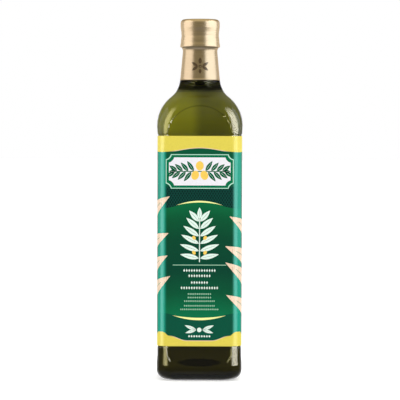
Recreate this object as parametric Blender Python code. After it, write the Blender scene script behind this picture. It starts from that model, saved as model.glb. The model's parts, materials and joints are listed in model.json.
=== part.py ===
"""A square glass bottle with a round shoulder, filled with olive oil, labelled and shut.

Metres, +Z up. The origin is the middle of the base, on the surface that the bottle stands on,
and the front of the label faces -Y. Sizes below are written in millimetres times MM.
"""

import math

import bmesh
import bpy

MM = 0.001

# Driving dimensions of the glass, which is widest at the shoulder and a little recessed for the label
BODY_HALF_WIDTH = 33.9 * MM
BROW_HALF_WIDTH = 33.6 * MM
PANEL_HALF_WIDTH = 33.1 * MM
FOOT_HALF_WIDTH = 33.3 * MM
HEEL_HALF_WIDTH = 33.6 * MM
CORNER_FLAT = 23.5 * MM
WALL = 3.5 * MM
FIT_GAP = 0.3 * MM

# The heel curls under to a flat ring, inside which the base is pushed up
HEEL_WIDTH = 9.0 * MM
HEEL_HEIGHT = 9.0 * MM
HEEL_STEPS = 5
FOOT_HEIGHT = 20.0 * MM
PANEL_BOTTOM = 26.8 * MM
PANEL_TOP = 194.1 * MM
PANEL_EDGE = 1.0 * MM
RING_WIDTH = 4.5 * MM
PUNT_HEIGHT = 4.5 * MM
FLOOR_THICKNESS = 6.0 * MM
FLOOR_FILLET = 7.0 * MM

# The shoulder is a convex arc and then a hollow one, seen through the middles of the faces
SHOULDER_BOTTOM = 201.3 * MM
SHOULDER_RADIUS = 29.6 * MM
SHOULDER_STEPS = 9
HOLLOW_RADIUS = 18.5 * MM
HOLLOW_HEIGHT = 238.8 * MM
HOLLOW_STEPS = 5
FLAT_FOOT = 194.0 * MM
FLAT_TOP = 236.0 * MM
QUARTER_TURN = math.pi / 2

# The neck, which the metal covers
SLEEVE_BOTTOM = 237.6 * MM
SLEEVE_BOTTOM_RADIUS = 16.15 * MM
SLEEVE_WAIST = 260.5 * MM
SLEEVE_WAIST_RADIUS = 13.75 * MM
SLEEVE_TOP = 263.5 * MM
SLEEVE_TOP_RADIUS = 15.0 * MM
SLEEVE_WALL = 0.4 * MM
FINISH_RADIUS = 13.9 * MM
MOUTH_HEIGHT = 284.6 * MM
MOUTH_BORE = 10.0 * MM

# The screw cap: a band, a waist, a flare and a bead
CAP_TOP = 286.2 * MM
CAP_EDGE = 3.0 * MM
CAP_ROOF = 285.0 * MM
CAP_BORE = 14.25 * MM
CAP_RADIUS = 15.6 * MM
CAP_BAND_BOTTOM = 280.5 * MM
CAP_WAIST_RADIUS = 14.85 * MM
CAP_WAIST_HEIGHT = 274.5 * MM
CAP_FLARE_RADIUS = 15.35 * MM
CAP_FLARE_HEIGHT = 268.5 * MM
BEAD_RADIUS = 1.7 * MM
BEAD_REACH = 15.95 * MM
BEAD_HEIGHT = 265.6 * MM
CAP_BOTTOM = 263.9 * MM

# The label and the oil
LABEL_BOTTOM = 27.7 * MM
LABEL_TOP = 193.2 * MM
LABEL_THICKNESS = 0.2 * MM
LABEL_GAP = 0.25 * MM
OIL_LEVEL = 228.0 * MM

# Round pieces have this many sides. The square ones are cut at these angles in each quarter turn
SIDES = 48
QUARTER_ANGLES = (0, 13, 25, 35, 38.5, 42, 45, 48, 51.5, 55, 65, 77)


def clear_scene():
    for obj in list(bpy.data.objects):
        bpy.data.objects.remove(obj)


def make_material(name, colour, roughness, metallic=0.0, transmission=0.0):
    material = bpy.data.materials.new(name)
    material.use_nodes = True
    shader = material.node_tree.nodes["Principled BSDF"]
    shader.inputs["Base Color"].default_value = (*colour, 1.0)
    shader.inputs["Roughness"].default_value = roughness
    shader.inputs["Metallic"].default_value = metallic
    shader.inputs["Transmission Weight"].default_value = transmission
    return material


def square_ring(half_width, flat, height):
    """A level ring of points round a rounded square. flat is half the length of its straight sides."""
    flat = min(flat, half_width)
    corner = half_width - flat
    points = []
    for quarter in range(4):
        for degrees in QUARTER_ANGLES:
            angle = math.radians(degrees)
            across = abs(math.cos(angle) - math.sin(angle)) * flat
            on_corner = half_width * math.tan(min(angle, QUARTER_TURN - angle)) > flat
            if on_corner:
                reach = flat * (math.cos(angle) + math.sin(angle))
                reach += math.sqrt(corner**2 - across**2)
            else:
                reach = half_width / max(math.cos(angle), math.sin(angle))
            turned = angle + quarter * QUARTER_TURN
            points.append((reach * math.cos(turned), reach * math.sin(turned), height))
    return points


def loft(name, rings, material):
    """One closed body through level rings, closed by a shallow fan at its first and last ring.

    Each square is cut along a diagonal that mirrors about the faces' middles and the corners,
    and is the same in space whether the rings run up or down there, so that a wall's two sides
    and the oil behind them stay parallel.
    """
    bm = bmesh.new()
    loops = [[bm.verts.new(point) for point in ring] for ring in rings]
    count = len(loops[0])
    for near, far in zip(loops, loops[1:]):
        rising = far[0].co.z > near[0].co.z
        for side in range(count):
            after = (side + 1) % count
            towards_corner = side * 8 // count % 2 == 0
            if rising == towards_corner:
                bm.faces.new((near[side], near[after], far[after]))
                bm.faces.new((near[side], far[after], far[side]))
            else:
                bm.faces.new((near[side], near[after], far[side]))
                bm.faces.new((near[after], far[after], far[side]))
    ends = [bm.faces.new(reversed(loops[0])), bm.faces.new(loops[-1])]
    bmesh.ops.poke(bm, faces=ends)
    return finish(name, bm, material)


def finish(name, bm, material):
    mesh = bpy.data.meshes.new(name)
    bm.to_mesh(mesh)
    bm.free()
    mesh.shade_smooth()
    mesh.set_sharp_from_angle(angle=math.radians(35))
    mesh.materials.append(material)
    obj = bpy.data.objects.new(name, mesh)
    bpy.context.scene.collection.objects.link(obj)
    return obj


def turned(name, profile, material):
    """One closed body of revolution: the profile, closed on itself, spun round the bottle's axis."""
    bm = bmesh.new()
    points = [bm.verts.new((radius, 0, height)) for radius, height in profile]
    edges = [bm.edges.new(pair) for pair in zip(points, points[1:])]
    if profile[0][0] > 0:
        edges.append(bm.edges.new((points[-1], points[0])))
    bmesh.ops.spin(
        bm,
        geom=points + edges,
        axis=(0, 0, 1),
        cent=(0, 0, 0),
        angle=2 * math.pi,
        steps=SIDES,
    )
    bmesh.ops.remove_doubles(bm, verts=bm.verts, dist=0.01 * MM)
    bmesh.ops.recalc_face_normals(bm, faces=bm.faces)
    return finish(name, bm, material)


def blend(start, end, share):
    return start + (end - start) * share


def face_flat(height):
    """Half the width of a face's flat, which narrows up the shoulder until the section is round."""
    rise = (height - FLAT_FOOT) / (FLAT_TOP - FLAT_FOOT)
    return CORNER_FLAT * (1 - min(1.0, max(0.0, rise)) ** 2)


def shoulder_centres():
    """(distance from the axis, height) of the centres of the shoulder's two arcs, which touch."""
    convex = (BODY_HALF_WIDTH - SHOULDER_RADIUS, SHOULDER_BOTTOM)
    rise = HOLLOW_HEIGHT - SHOULDER_BOTTOM
    apart = SHOULDER_RADIUS + HOLLOW_RADIUS
    hollow = (convex[0] + math.sqrt(apart**2 - rise**2), HOLLOW_HEIGHT)
    return convex, hollow


def shoulder_rows(inset):
    """(half width, flat, height) up the shoulder and the glass's neck, inset from the outside."""
    convex, hollow = shoulder_centres()
    meeting = math.atan2(hollow[1] - convex[1], hollow[0] - convex[0])
    rows = []
    for step in range(SHOULDER_STEPS + 1):
        angle = meeting * step / SHOULDER_STEPS
        outside = convex[1] + SHOULDER_RADIUS * math.sin(angle)
        radius = SHOULDER_RADIUS - inset
        half_width = convex[0] + radius * math.cos(angle)
        rows.append((half_width, face_flat(outside), convex[1] + radius * math.sin(angle)))
    radius = HOLLOW_RADIUS + inset
    last = math.asin((HOLLOW_HEIGHT - SLEEVE_BOTTOM + 2 * FIT_GAP) / HOLLOW_RADIUS)
    for step in range(1, HOLLOW_STEPS + 1):
        angle = blend(meeting, last, step / HOLLOW_STEPS)
        outside = hollow[1] - HOLLOW_RADIUS * math.sin(angle)
        half_width = hollow[0] - radius * math.cos(angle)
        rows.append((half_width, face_flat(outside), hollow[1] - radius * math.sin(angle)))
    return rows


def floor_rows(half_width, height, fillet):
    """(half width, flat, height) from the middle of the inner floor out to the wall, over the punt."""
    rows = []
    edge = half_width - fillet
    flat = CORNER_FLAT - fillet
    for share in (0.12, 0.45, 0.75, 1.0):
        rise = PUNT_HEIGHT * (1 - share**2) ** 2
        rows.append((edge * share, flat * share**3, height + rise))
    for step in range(1, HEEL_STEPS):
        angle = QUARTER_TURN * step / (HEEL_STEPS - 1)
        out = fillet * math.sin(angle)
        rows.append((edge + out, blend(flat, CORNER_FLAT, out / fillet), height + fillet * (1 - math.cos(angle))))
    return rows


def sleeve_radius(height):
    """Outside of the neck sleeve: a slim cone, which flares at its top to meet the cap."""
    if height > SLEEVE_WAIST:
        share = (height - SLEEVE_WAIST) / (SLEEVE_TOP - SLEEVE_WAIST)
        return blend(SLEEVE_WAIST_RADIUS, SLEEVE_TOP_RADIUS, share**2)
    share = (height - SLEEVE_BOTTOM) / (SLEEVE_WAIST - SLEEVE_BOTTOM)
    return blend(SLEEVE_BOTTOM_RADIUS, SLEEVE_WAIST_RADIUS, share)


def build_bottle():
    """The glass: pushed-up base, heel, recessed panel, shoulder and neck, and back down its inside."""
    foot = HEEL_HALF_WIDTH - HEEL_WIDTH
    foot_flat = CORNER_FLAT - HEEL_WIDTH
    ring = foot - RING_WIDTH
    ring_flat = foot_flat - RING_WIDTH
    rows = []
    for share in (0.12, 0.45, 0.75, 1.0):
        rise = PUNT_HEIGHT * (1 - share**2)
        rows.append((ring * share, ring_flat * share**3, rise))
    for step in range(HEEL_STEPS + 1):
        angle = QUARTER_TURN * step / HEEL_STEPS
        out = HEEL_WIDTH * math.sin(angle)
        rows.append((foot + out, foot_flat + out, HEEL_HEIGHT * (1 - math.cos(angle))))
    rows.append((HEEL_HALF_WIDTH, CORNER_FLAT, blend(HEEL_HEIGHT, FOOT_HEIGHT, 0.4)))
    rows.append((FOOT_HALF_WIDTH, CORNER_FLAT, FOOT_HEIGHT))
    rows.append((FOOT_HALF_WIDTH, CORNER_FLAT, PANEL_BOTTOM - PANEL_EDGE))
    rows.append((PANEL_HALF_WIDTH, CORNER_FLAT, PANEL_BOTTOM))
    rows.append((PANEL_HALF_WIDTH, face_flat(PANEL_TOP), PANEL_TOP))
    brow = PANEL_TOP + PANEL_EDGE
    rows.append((BROW_HALF_WIDTH, face_flat(brow), brow))
    rows += shoulder_rows(0)

    neck = SLEEVE_WALL + FIT_GAP
    for height in (SLEEVE_BOTTOM, SLEEVE_WAIST - FIT_GAP):
        rows.append((sleeve_radius(height) - neck, 0.0, height))
    rows.append((sleeve_radius(SLEEVE_WAIST) - neck, 0.0, SLEEVE_WAIST + FIT_GAP))
    rows.append((FINISH_RADIUS, 0.0, SLEEVE_TOP + FIT_GAP))
    rows.append((FINISH_RADIUS, 0.0, MOUTH_HEIGHT))

    rows.append((MOUTH_BORE, 0.0, MOUTH_HEIGHT))
    rows += reversed(shoulder_rows(WALL))
    rows += reversed(floor_rows(BODY_HALF_WIDTH - WALL, FLOOR_THICKNESS, FLOOR_FILLET))

    glass = make_material("bottle_glass", (0.10, 0.13, 0.03), 0.05, transmission=0.9)
    return loft("glass_bottle", [square_ring(*row) for row in rows], glass)


def build_oil():
    """The oil: all of the bottle's inside up to its level in the neck."""
    inset = WALL + FIT_GAP
    rows = floor_rows(BODY_HALF_WIDTH - inset, FLOOR_THICKNESS + FIT_GAP, FLOOR_FILLET)
    below = [row for row in shoulder_rows(inset) if row[2] < OIL_LEVEL - FIT_GAP]
    above = next(row for row in shoulder_rows(inset) if row[2] > OIL_LEVEL - FIT_GAP)
    share = (OIL_LEVEL - below[-1][2]) / (above[2] - below[-1][2])
    rows += below
    half_width = blend(below[-1][0], above[0], share)
    rows.append((half_width, blend(below[-1][1], above[1], share), OIL_LEVEL))
    oil = make_material("olive_oil", (0.42, 0.36, 0.03), 0.05, transmission=0.8)
    return loft("olive_oil", [square_ring(*row) for row in rows], oil)


def build_label():
    """The paper label, a sleeve of one height all round the body, in the panel's recess."""
    inside = PANEL_HALF_WIDTH + LABEL_GAP
    outside = inside + LABEL_THICKNESS
    flat = CORNER_FLAT
    corners = (
        (outside, LABEL_BOTTOM),
        (outside, LABEL_TOP),
        (inside, LABEL_TOP),
        (inside, LABEL_BOTTOM),
    )
    bm = bmesh.new()
    loops = []
    for half_width, height in corners:
        loops.append([bm.verts.new(point) for point in square_ring(half_width, flat, height)])
    count = len(loops[0])
    for lower, upper in zip(loops, loops[1:] + loops[:1]):
        for side in range(count):
            after = (side + 1) % count
            bm.faces.new((lower[side], lower[after], upper[after], upper[side]))
    paper = make_material("label_paper", (0.0, 0.13, 0.06), 0.35)
    return finish("label", bm, paper)


def eased_curve(start, end, steps):
    """Points after start up to end, each (radius, height), level with the axis at both ends."""
    points = []
    for step in range(1, steps + 1):
        share = step / steps
        eased = (1 - math.cos(math.pi * share)) / 2
        points.append((blend(start[0], end[0], eased), blend(start[1], end[1], share)))
    return points


def build_cap(gold):
    """The screw cap, a shell of rolled metal that is open below."""
    profile = [(0.0, CAP_TOP)]
    for step in range(5):
        angle = QUARTER_TURN * step / 4
        edge = CAP_RADIUS - CAP_EDGE + CAP_EDGE * math.sin(angle)
        profile.append((edge, CAP_TOP - CAP_EDGE * (1 - math.cos(angle))))
    band = (CAP_RADIUS, CAP_BAND_BOTTOM)
    waist = (CAP_WAIST_RADIUS, CAP_WAIST_HEIGHT)
    flare = (CAP_FLARE_RADIUS, CAP_FLARE_HEIGHT)
    profile.append(band)
    profile += eased_curve(band, waist, 4)
    profile += eased_curve(waist, flare, 4)
    for degrees in (65, 22, -22, -65):
        angle = math.radians(degrees)
        out = BEAD_REACH - BEAD_RADIUS * (1 - math.cos(angle))
        profile.append((out, BEAD_HEIGHT + BEAD_RADIUS * math.sin(angle)))
    profile += [(CAP_BORE, CAP_BOTTOM), (CAP_BORE, CAP_ROOF), (0.0, CAP_ROOF)]
    return turned("screw_cap", profile, gold)


def build_sleeve(gold):
    """The neck sleeve below the cap: thin metal that follows the neck."""
    heights = [blend(SLEEVE_BOTTOM, SLEEVE_WAIST, share) for share in (0.0, 0.5, 0.94)]
    heights += [blend(SLEEVE_WAIST, SLEEVE_TOP, share) for share in (0.2, 0.6, 1.0)]
    outside = [(sleeve_radius(height), height) for height in heights]
    inside = [(radius - SLEEVE_WALL, height) for radius, height in outside]
    return turned("neck_sleeve", outside + inside[::-1], gold)


def main():
    clear_scene()
    gold = make_material("gold_aluminium", (0.78, 0.58, 0.30), 0.28, metallic=1.0)
    build_bottle()
    build_oil()
    build_label()
    build_sleeve(gold)
    build_cap(gold)


main()
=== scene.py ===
"""Looks of a square glass bottle of olive oil, with its paper label, neck sleeve and screw cap."""

import json
import math

import bmesh
import bpy
from mathutils import Matrix, Vector

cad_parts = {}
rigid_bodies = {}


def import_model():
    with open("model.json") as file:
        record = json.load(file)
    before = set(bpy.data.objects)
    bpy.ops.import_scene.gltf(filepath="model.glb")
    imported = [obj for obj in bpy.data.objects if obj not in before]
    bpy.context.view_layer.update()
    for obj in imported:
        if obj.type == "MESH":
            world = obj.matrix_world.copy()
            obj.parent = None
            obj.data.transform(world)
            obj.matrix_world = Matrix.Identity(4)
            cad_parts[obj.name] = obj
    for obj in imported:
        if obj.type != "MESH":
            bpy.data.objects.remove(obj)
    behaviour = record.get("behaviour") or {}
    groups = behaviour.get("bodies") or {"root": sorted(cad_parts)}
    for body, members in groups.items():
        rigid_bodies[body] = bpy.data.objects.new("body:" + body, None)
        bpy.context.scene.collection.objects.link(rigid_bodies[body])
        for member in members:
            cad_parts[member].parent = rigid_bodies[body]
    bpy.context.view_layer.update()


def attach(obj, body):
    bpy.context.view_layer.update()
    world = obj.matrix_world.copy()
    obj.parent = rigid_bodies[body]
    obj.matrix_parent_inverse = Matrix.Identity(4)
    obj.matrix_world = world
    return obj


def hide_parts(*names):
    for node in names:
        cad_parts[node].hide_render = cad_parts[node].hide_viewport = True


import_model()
MM = 0.001


# Glass bottle
# Dark olive-green glass, blown in a mould: a square body with round corners and a domed shoulder
# that turns from square to round, stands on a flat ring round its pushed-up base. Each side has
# a shallow panel with an arched top, and the whole body is drawn in a little where the label is.
BODY_HALF_WIDTH = 33.9 * MM
BROW_HALF_WIDTH = 33.6 * MM
LABEL_ZONE_HALF_WIDTH = 33.1 * MM
FOOT_HALF_WIDTH = 33.3 * MM
HEEL_HALF_WIDTH = 33.6 * MM
CORNER_FLAT = 23.5 * MM
GLASS_WALL = 3.5 * MM
HEEL_WIDTH = 9.0 * MM
HEEL_HEIGHT = 9.0 * MM
HEEL_TOP = 13.0 * MM
FOOT_HEIGHT = 20.0 * MM
STANDING_RING = 4.5 * MM
PUNT_HEIGHT = 4.5 * MM
FLOOR_HEIGHT = 6.0 * MM
FLOOR_FILLET = 7.0 * MM
LABEL_ZONE = (26.8 * MM, 194.1 * MM)
ZONE_EDGE = 1.0 * MM
SHOULDER_FOOT = 201.3 * MM
SHOULDER_RADIUS = 29.6 * MM
HOLLOW_RADIUS = 18.5 * MM
HOLLOW_HEIGHT = 238.8 * MM
HOLLOW_END = math.radians(5.6)
FLAT_FOOT = 194.0 * MM
FLAT_TOP = 236.0 * MM
NECK_TOP = 284.6 * MM
MOUTH_RADIUS = 10.0 * MM
OIL_LEVEL = 228.0 * MM
ROUND = 0.05 * MM
CORNER_STEPS = 20
TINY = 1e-7

# The panels: an ellipse above the label and round corners below it. Each sinks between two
# outlines a rim apart, and ends under the label's edges, so that the paper lies on the glass.
PANEL_REACH = 26.0 * MM
PANEL_RIM = 0.8 * MM
PANEL_DEPTH = 0.55 * MM
RIM_STEPS = ((0.25, 0.15), (0.5, 0.35), (0.75, 0.35), (1.0, 0.15))
PANEL_STEP = 0.3 * MM
ARCH_SPRING = 193.0 * MM
ARCH_RISE = 24.6 * MM
ARCH_COLUMNS = 10
PANEL_FOOT = 12.2 * MM
PANEL_CORNER = 11.0 * MM
CORNER_COLUMNS = 6
UNDER_LABEL = (28.1 * MM, 192.8 * MM)
NEAR_SIDE = 20 * MM

# The neck under the metal: (radius, height) in millimetres.
NECK = ((15.7, 237.6), (14.4, 250.0), (13.1, 260.2), (13.1, 260.8), (13.9, 263.8), (13.9, 284.0), (13.3, 284.6))

# The glass is tinted through its thickness. Its surface colour is darker along the rim of the arch and in a band
# round the brim of the oil, both painted shade, and takes a light olive tint in the collar above that.
GLASS_IOR = 1.5
GLASS_COLOUR = (0.42, 0.46, 0.06, 1.0)
GLASS_DENSITY = 130.0
CLEAR_TINT = (0.95, 0.97, 0.88, 1.0)
ARCH_SHADE_TINT = (0.42, 0.42, 0.30, 1.0)
BRIM_SHADE_TINT = (0.44, 0.46, 0.54, 1.0)
BRIM_EDGE = 0.4 * MM
COLLAR_TINT = (0.97, 0.95, 0.68, 1.0)
COLLAR_FOOT = (231.8 * MM, 233.0 * MM)
# Painted shade on the neck: above the oil most of the glass's reflection is mixed away.
NECK_GLINT_CUT = 0.82
GLINT_CUT_FADE = 3.0 * MM


def slope_between(start, end, share):
    """The value that share of the way from start to end."""
    return start + (end - start) * share


def eased(share):
    """The share with a slow start and a slow end."""
    return (1 - math.cos(math.pi * share)) / 2


def shoulder_flat(height):
    """Half the flat across a side: full below the shoulder, closing until the glass is round."""
    rise = min(1.0, max(0.0, (height - FLAT_FOOT) / (FLAT_TOP - FLAT_FOOT)))
    return max(ROUND, CORNER_FLAT * (1 - rise**2))


def shoulder_levels(inset, steps):
    """(half width, half flat, height) up the dome and the hollow above it, that far inside the glass."""
    dome_centre = BODY_HALF_WIDTH - SHOULDER_RADIUS
    rise = HOLLOW_HEIGHT - SHOULDER_FOOT
    across = math.sqrt((SHOULDER_RADIUS + HOLLOW_RADIUS) ** 2 - rise**2)
    meeting = math.atan2(rise, across)
    levels = []
    for step in range(steps + 1):
        angle = meeting * step / steps
        outside = SHOULDER_FOOT + SHOULDER_RADIUS * math.sin(angle)
        radius = SHOULDER_RADIUS - inset
        half_width = dome_centre + radius * math.cos(angle)
        levels.append((half_width, shoulder_flat(outside), SHOULDER_FOOT + radius * math.sin(angle)))
    radius = HOLLOW_RADIUS + inset
    for step in range(1, steps // 2 + 1):
        angle = slope_between(meeting, HOLLOW_END, 2 * step / steps)
        outside = HOLLOW_HEIGHT - HOLLOW_RADIUS * math.sin(angle)
        half_width = dome_centre + across - radius * math.cos(angle)
        levels.append((half_width, shoulder_flat(outside), HOLLOW_HEIGHT - radius * math.sin(angle)))
    return levels


def start_mesh(name):
    """An empty mesh of that name, open for editing, with nothing else selected."""
    bpy.ops.object.select_all(action="DESELECT")
    bpy.ops.mesh.primitive_plane_add(size=0.01)
    piece = bpy.context.object
    piece.name = name
    piece.data.name = name
    bpy.ops.object.mode_set(mode="EDIT")
    bpy.ops.mesh.select_mode(type="VERT")
    bpy.ops.mesh.delete(type="VERT")
    return piece


def select_where(piece, kind, wanted):
    """Selects the edited mesh's vertices or faces for which wanted() is true, and nothing else."""
    mesh = bmesh.from_edit_mesh(piece.data)
    bpy.ops.mesh.select_all(action="DESELECT")
    bpy.ops.mesh.select_mode(type=kind)
    for element in mesh.verts if kind == "VERT" else mesh.faces:
        if wanted(element):
            element.select_set(True)
    mesh.select_flush_mode()
    bmesh.update_edit_mesh(piece.data)


def stack_levels(piece, levels):
    """Rounded squares, each a plane with its corners bevelled, bridged from the lowest to the highest."""
    below = None
    for half_width, flat, height in levels:
        bpy.ops.mesh.select_all(action="DESELECT")
        bpy.ops.mesh.select_mode(type="VERT")
        bpy.ops.mesh.primitive_plane_add(size=2 * half_width, location=(0, 0, height))
        bpy.ops.mesh.bevel(
            offset=half_width - flat, segments=CORNER_STEPS, affect="VERTICES", clamp_overlap=False
        )
        bpy.ops.mesh.delete(type="ONLY_FACE")
        if below is not None:
            select_where(piece, "VERT", lambda v: min(abs(v.co.z - below), abs(v.co.z - height)) < TINY)
            bpy.ops.mesh.bridge_edge_loops()
        below = height


def close_with_dome(piece, height, drops):
    """Closes the ring at that height by extruding it inwards: (share of its size, rise) a step."""
    select_where(piece, "VERT", lambda v: abs(v.co.z - height) < TINY)
    bpy.ops.mesh.edge_face_add()
    size = 1.0
    level = 0.0
    for share, rise in drops:
        bpy.ops.mesh.extrude_region_move(TRANSFORM_OT_translate={"value": (0, 0, rise - level)})
        bpy.ops.transform.resize(value=(share / size, share / size, 1), center_override=(0, 0, 0))
        size = share
        level = rise
    bpy.ops.mesh.poke()


def finish_mesh(piece, angle=35):
    """Normals outwards, out of edit mode, and smooth but for the edges sharper than the angle."""
    bpy.ops.mesh.select_all(action="SELECT")
    bpy.ops.mesh.remove_doubles(threshold=TINY)
    bpy.ops.mesh.normals_make_consistent(inside=False)
    bpy.ops.mesh.select_all(action="DESELECT")
    bpy.ops.object.mode_set(mode="OBJECT")
    bpy.ops.object.shade_smooth_by_angle(angle=math.radians(angle))
    piece.select_set(False)


def floor_levels(inset):
    """The fillet from the inner floor up to the wall, that far inside the bottle."""
    half_width = BODY_HALF_WIDTH - inset
    levels = []
    for step in range(9):
        angle = math.radians(90 * step / 8)
        out = FLOOR_FILLET * (1 - math.sin(angle))
        height = FLOOR_HEIGHT + inset - GLASS_WALL + FLOOR_FILLET * (1 - math.cos(angle))
        levels.append((half_width - out, CORNER_FLAT - out, height))
    return levels


def punt_steps(width, rise):
    """The pushed-up base as shares of the flat ring's size, with the rise at each."""
    shares = (1.0, 0.9, 0.75, 0.6, 0.45, 0.3, 0.15, 0.04)
    return [(share * width, rise * (1 - share**2) ** 2) for share in shares]


def bottle_outside_levels():
    """(half width, half flat, height) up the outside: heel, foot, label zone, brow, dome and neck."""
    foot = HEEL_HALF_WIDTH - HEEL_WIDTH
    levels = []
    for step in range(13):
        angle = math.radians(90 * step / 12)
        out = HEEL_WIDTH * math.sin(angle)
        levels.append((foot + out, CORNER_FLAT - HEEL_WIDTH + out, HEEL_HEIGHT * (1 - math.cos(angle))))
    zone_bottom, zone_top = LABEL_ZONE
    for start, end, reach in (
        ((HEEL_HALF_WIDTH, HEEL_TOP), (FOOT_HALF_WIDTH, FOOT_HEIGHT), 6),
        ((FOOT_HALF_WIDTH, zone_bottom - ZONE_EDGE), (LABEL_ZONE_HALF_WIDTH, zone_bottom), 4),
        ((LABEL_ZONE_HALF_WIDTH, zone_top), (BROW_HALF_WIDTH, zone_top + ZONE_EDGE), 4),
    ):
        for step in range(reach + 1):
            height = slope_between(start[1], end[1], step / reach)
            half_width = slope_between(start[0], end[0], eased(step / reach))
            levels.append((half_width, shoulder_flat(height), height))
    brow = zone_top + ZONE_EDGE
    for step in range(1, 6):
        height = slope_between(brow, SHOULDER_FOOT, step / 6)
        half_width = slope_between(BROW_HALF_WIDTH, BODY_HALF_WIDTH, math.sin(math.pi / 2 * step / 6))
        levels.append((half_width, shoulder_flat(height), height))
    levels += shoulder_levels(0.0, 40)
    levels += [(radius * MM, ROUND, height * MM) for radius, height in NECK]
    return levels


def arch_line(across, inset):
    """Height of the panel's arched top."""
    share = min(1.0, abs(across) / (PANEL_REACH - inset))
    return ARCH_SPRING + (ARCH_RISE - inset) * math.sqrt(1 - share**2)


def foot_line(across, inset):
    """Height of the panel's lower edge, which rises in a round corner at each end."""
    radius = PANEL_CORNER - inset
    beyond = min(radius, max(0.0, abs(across) - (PANEL_REACH - PANEL_CORNER)))
    return PANEL_FOOT + inset + radius - math.sqrt(radius**2 - beyond**2)


def sink_panel(piece, turn, line, column_edges, ends):
    """Cuts one panel's two outlines in columns, and pushes in what lies within the inner one."""
    out = Vector((math.sin(turn), -math.cos(turn), 0))
    along = Vector((math.cos(turn), math.sin(turn), 0))
    low, high = min(ends) - 2 * PANEL_RIM, max(ends) + 2 * PANEL_RIM
    hidden_end = ends[0]

    def on_side(place):
        return place.dot(out) > NEAR_SIDE and low < place.z < high

    def cut(left, right, point, normal):
        def in_column(face):
            place = face.calc_center_median()
            return on_side(place) and left < place.dot(along) < right

        select_where(piece, "FACE", in_column)
        bpy.ops.mesh.bisect(plane_co=point, plane_no=normal)

    for edge in column_edges:
        cut(-PANEL_REACH - PANEL_RIM, PANEL_REACH + PANEL_RIM, along * edge, along)
    for step in (0.0, PANEL_STEP):
        height = hidden_end + math.copysign(step, hidden_end - ends[1])
        cut(-PANEL_REACH, PANEL_REACH, (0, 0, height), (0, 0, 1))

    def outline_at(inset):
        reached = [edge for edge in column_edges if abs(edge) < PANEL_REACH - inset + TINY]
        return [(edge, line(edge, inset)) for edge in reached]

    for inset in (0.0, PANEL_RIM):
        points = outline_at(inset)
        for (left, start), (right, end) in zip(points, points[1:]):
            normal = Vector((0, 0, right - left)) - along * (end - start)
            cut(left, right, along * left + Vector((0, 0, start)), normal)

    def sunk(vertex):
        across = vertex.co.dot(along)
        if not on_side(vertex.co):
            return False
        for (left, start), (right, end) in zip(outline, outline[1:]):
            if left - TINY <= across <= right + TINY:
                edge = slope_between(start, end, (across - left) / (right - left))
                lower, upper = sorted((hidden_end, edge))
                return lower - 1e-6 <= vertex.co.z <= upper + 1e-6
        return False

    for share, depth in RIM_STEPS:
        outline = outline_at(share * PANEL_RIM)
        select_where(piece, "VERT", sunk)
        bpy.ops.transform.translate(value=out * -PANEL_DEPTH * depth)


def mirrored_columns(distances):
    """The distances to both sides of the middle, in order and none twice."""
    return sorted(set(distances) | {-distance for distance in distances})


def feed(material, socket, value):
    """Sets a node's socket to a number or colour, or links it to another node's output."""
    if isinstance(value, bpy.types.NodeSocket):
        material.node_tree.links.new(value, socket)
    else:
        socket.default_value = value


def calculated(material, operation, first, second=0.0):
    """The result of a sum on two numbers or sockets."""
    node = material.node_tree.nodes.new("ShaderNodeMath")
    node.operation = operation
    feed(material, node.inputs[0], first)
    feed(material, node.inputs[1], second)
    return node.outputs[0]


def faded(material, value, start, end):
    """0 where the value is below start and 1 above end, with a smooth step between them."""
    node = material.node_tree.nodes.new("ShaderNodeMapRange")
    node.interpolation_type = "SMOOTHSTEP"
    feed(material, node.inputs["Value"], value)
    node.inputs["From Min"].default_value = start
    node.inputs["From Max"].default_value = end
    return node.outputs["Result"]


def printed(material, share, ground, ink, blend="MIX"):
    """The ground's colour where share is 0, and the ink's where it is 1."""
    node = material.node_tree.nodes.new("ShaderNodeMix")
    node.data_type = "RGBA"
    node.blend_type = blend
    feed(material, node.inputs["Factor"], share)
    feed(material, node.inputs["A"], ground)
    feed(material, node.inputs["B"], ink)
    return node.outputs["Result"]


def start_material(name):
    material = bpy.data.materials.new(name)
    material.use_nodes = True
    return material


def main_shader(material):
    return material.node_tree.nodes["Principled BSDF"]


def own_place(material):
    """Where a point is, in the piece's own coordinates."""
    return material.node_tree.nodes.new("ShaderNodeTexCoord").outputs["Object"]


def split_up(material, place):
    """The X, Y and Z of a place."""
    node = material.node_tree.nodes.new("ShaderNodeSeparateXYZ")
    feed(material, node.inputs["Vector"], place)
    return node.outputs


def noise(material, place, scale, detail=2.0):
    """Soft uneven noise, 0 to 1, with that many waves in a metre."""
    node = material.node_tree.nodes.new("ShaderNodeTexNoise")
    feed(material, node.inputs["Vector"], place)
    node.inputs["Scale"].default_value = scale
    node.inputs["Detail"].default_value = detail
    return node.outputs["Fac"]


def raised(material, relief, strength, distance):
    """Gives the material's main shader a relief, the distance high where the relief is 1."""
    node = material.node_tree.nodes.new("ShaderNodeBump")
    node.inputs["Strength"].default_value = strength
    node.inputs["Distance"].default_value = distance
    feed(material, node.inputs["Height"], relief)
    feed(material, main_shader(material).inputs["Normal"], node.outputs["Normal"])


def ellipse_reach(material, place, height, half_width, half_height):
    """The square of how far a point is out from the middle of an ellipse on its side, 1 on its line."""
    x, y, z = split_up(material, place)
    nearer = calculated(material, "MINIMUM", *(calculated(material, "ABSOLUTE", value) for value in (x, y)))
    across = calculated(material, "DIVIDE", nearer, half_width)
    rise = calculated(material, "DIVIDE", calculated(material, "SUBTRACT", z, height), half_height)
    return calculated(material, "ADD", *(calculated(material, "POWER", value, 2.0) for value in (across, rise)))


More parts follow.
